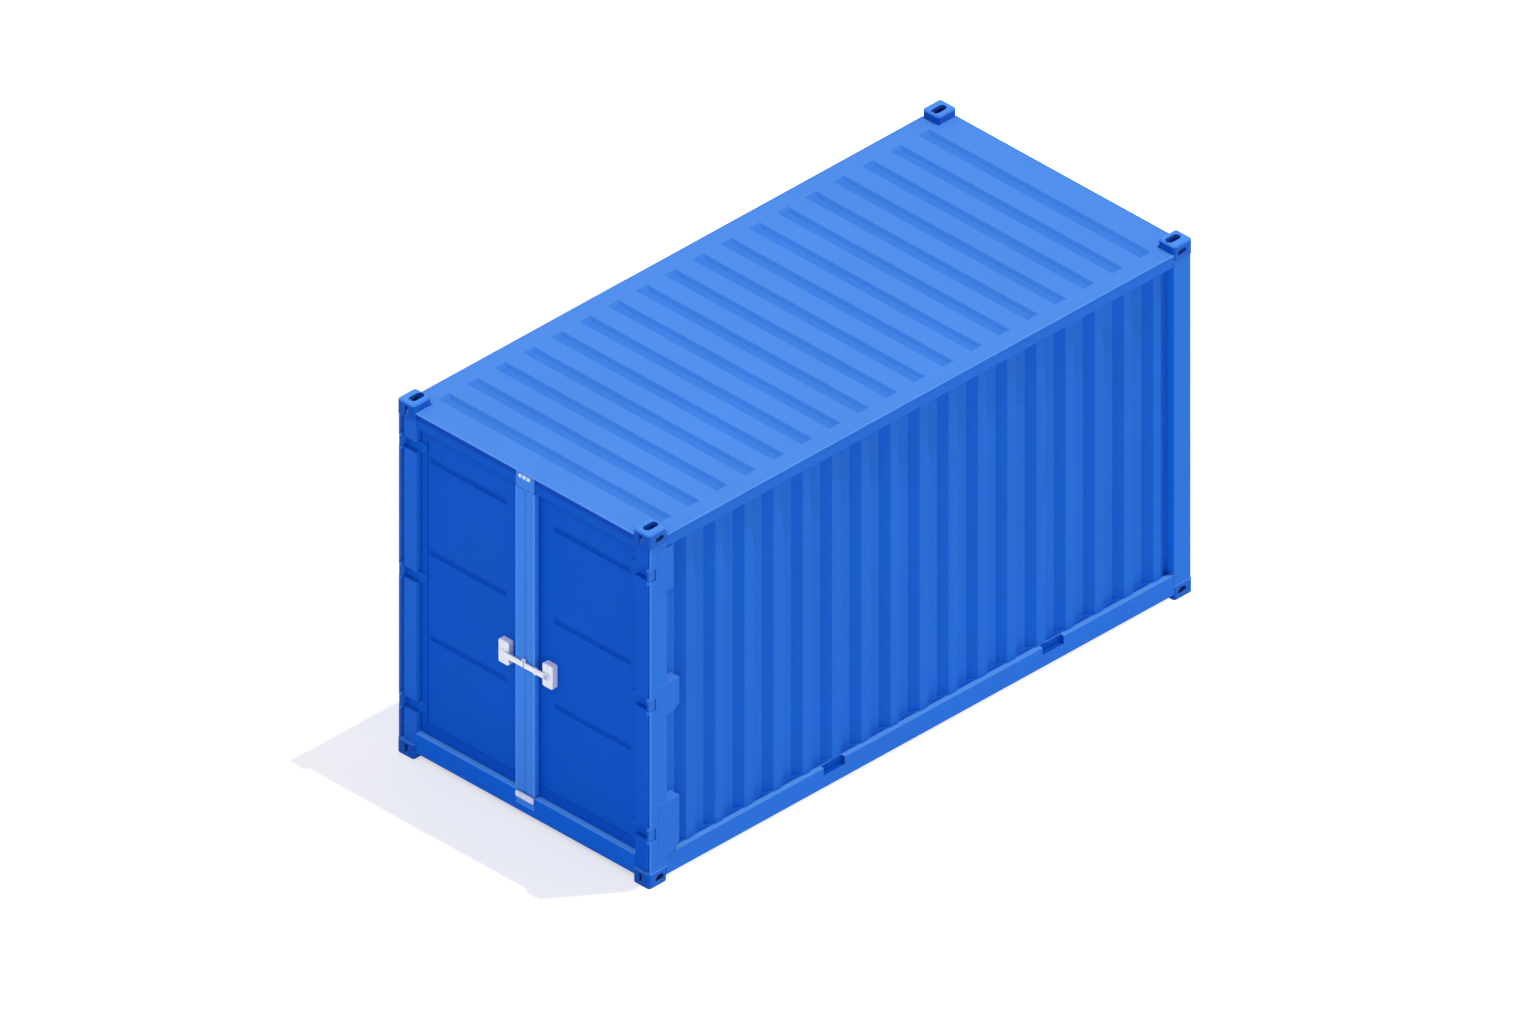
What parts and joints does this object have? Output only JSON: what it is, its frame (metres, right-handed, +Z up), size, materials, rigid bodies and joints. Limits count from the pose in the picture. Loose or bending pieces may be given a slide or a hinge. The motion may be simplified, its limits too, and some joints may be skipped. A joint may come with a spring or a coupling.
{
  "type": "shipping container",
  "caption": "Short high-cube steel freight container with corrugated walls, corner castings and hinged end doors with a bright lock arm.",
  "frame": {"origin": "on the ground under the middle of the container", "axes": "+X along the length away from the doors, +Y across the width to the left side seen from the doors, +Z up"},
  "size_m": [5.24, 2.438, 2.896],
  "materials": {
    "casting_paint": "satin container paint over cast steel",
    "roof_paint": "satin container paint over pressed sheet",
    "end_paint": "satin container paint",
    "side_paint": "satin container paint",
    "strip_paint": "satin container paint",
    "lock_paint": "white enamel",
    "underframe_paint": "matt waxed paint",
    "seal_rubber": "matt",
    "plywood": "varnished plywood"
  },
  "bodies": {
    "container_frame": {"blind_bottom_rail": "side_paint", "blind_end_wall": "side_paint", "blind_post_left": "side_paint", "blind_post_right": "side_paint", "blind_top_rail": "side_paint", "bottom_side_rail_left": "side_paint", "bottom_side_rail_right": "side_paint", "casting_blind_left_bottom": "casting_paint", "casting_blind_left_top": "casting_paint", "casting_blind_right_bottom": "casting_paint", "casting_blind_right_top": "casting_paint", "casting_door_left_bottom": "casting_paint", "casting_door_left_top": "casting_paint", "casting_door_right_bottom": "casting_paint", "casting_door_right_top": "casting_paint", "cross_members": "underframe_paint", "door_header": "end_paint", "door_post_left": "end_paint", "door_post_right": "end_paint", "door_sill": "end_paint", "floor_boards": "plywood", "hinge_lugs_left": "end_paint", "hinge_lugs_right": "end_paint", "keepers": "lock_paint", "roof_panel": "roof_paint", "side_plates_left": "side_paint", "side_plates_right": "side_paint", "side_wall_left": "side_paint", "side_wall_right": "side_paint", "strip_caps": "strip_paint", "top_side_rail_left": "side_paint", "top_side_rail_right": "side_paint"},
    "left_door": {"door_frame_left": "end_paint", "door_panel_left": "end_paint", "door_seal_left": "seal_rubber", "hinge_straps_left": "end_paint", "centre_bar_left": "strip_paint", "lock_box_left": "lock_paint"},
    "right_door": {"door_frame_right": "end_paint", "door_panel_right": "end_paint", "door_seal_right": "seal_rubber", "hinge_straps_right": "end_paint", "centre_bar_right": "strip_paint", "lock_box_right": "lock_paint"},
    "lock_arm": {"lock_arm": "lock_paint"}
  },
  "joints": [
    {"name": "left_door_hinge", "type": "hinge", "parent": "container_frame", "child": "left_door", "pos_m": [-2.604, 1.195, 1.49], "axis": [0, 0, -1], "range_deg": [0, 265]},
    {"name": "right_door_hinge", "type": "hinge", "parent": "container_frame", "child": "right_door", "pos_m": [-2.604, -1.195, 1.49], "axis": [0, 0, 1], "range_deg": [0, 265]},
    {"name": "lock_arm_swing", "type": "hinge", "parent": "right_door", "child": "lock_arm", "pos_m": [-2.61, -0.212, 1.274], "axis": [1, 0, 0], "range_deg": [0, 100]}
  ]
}
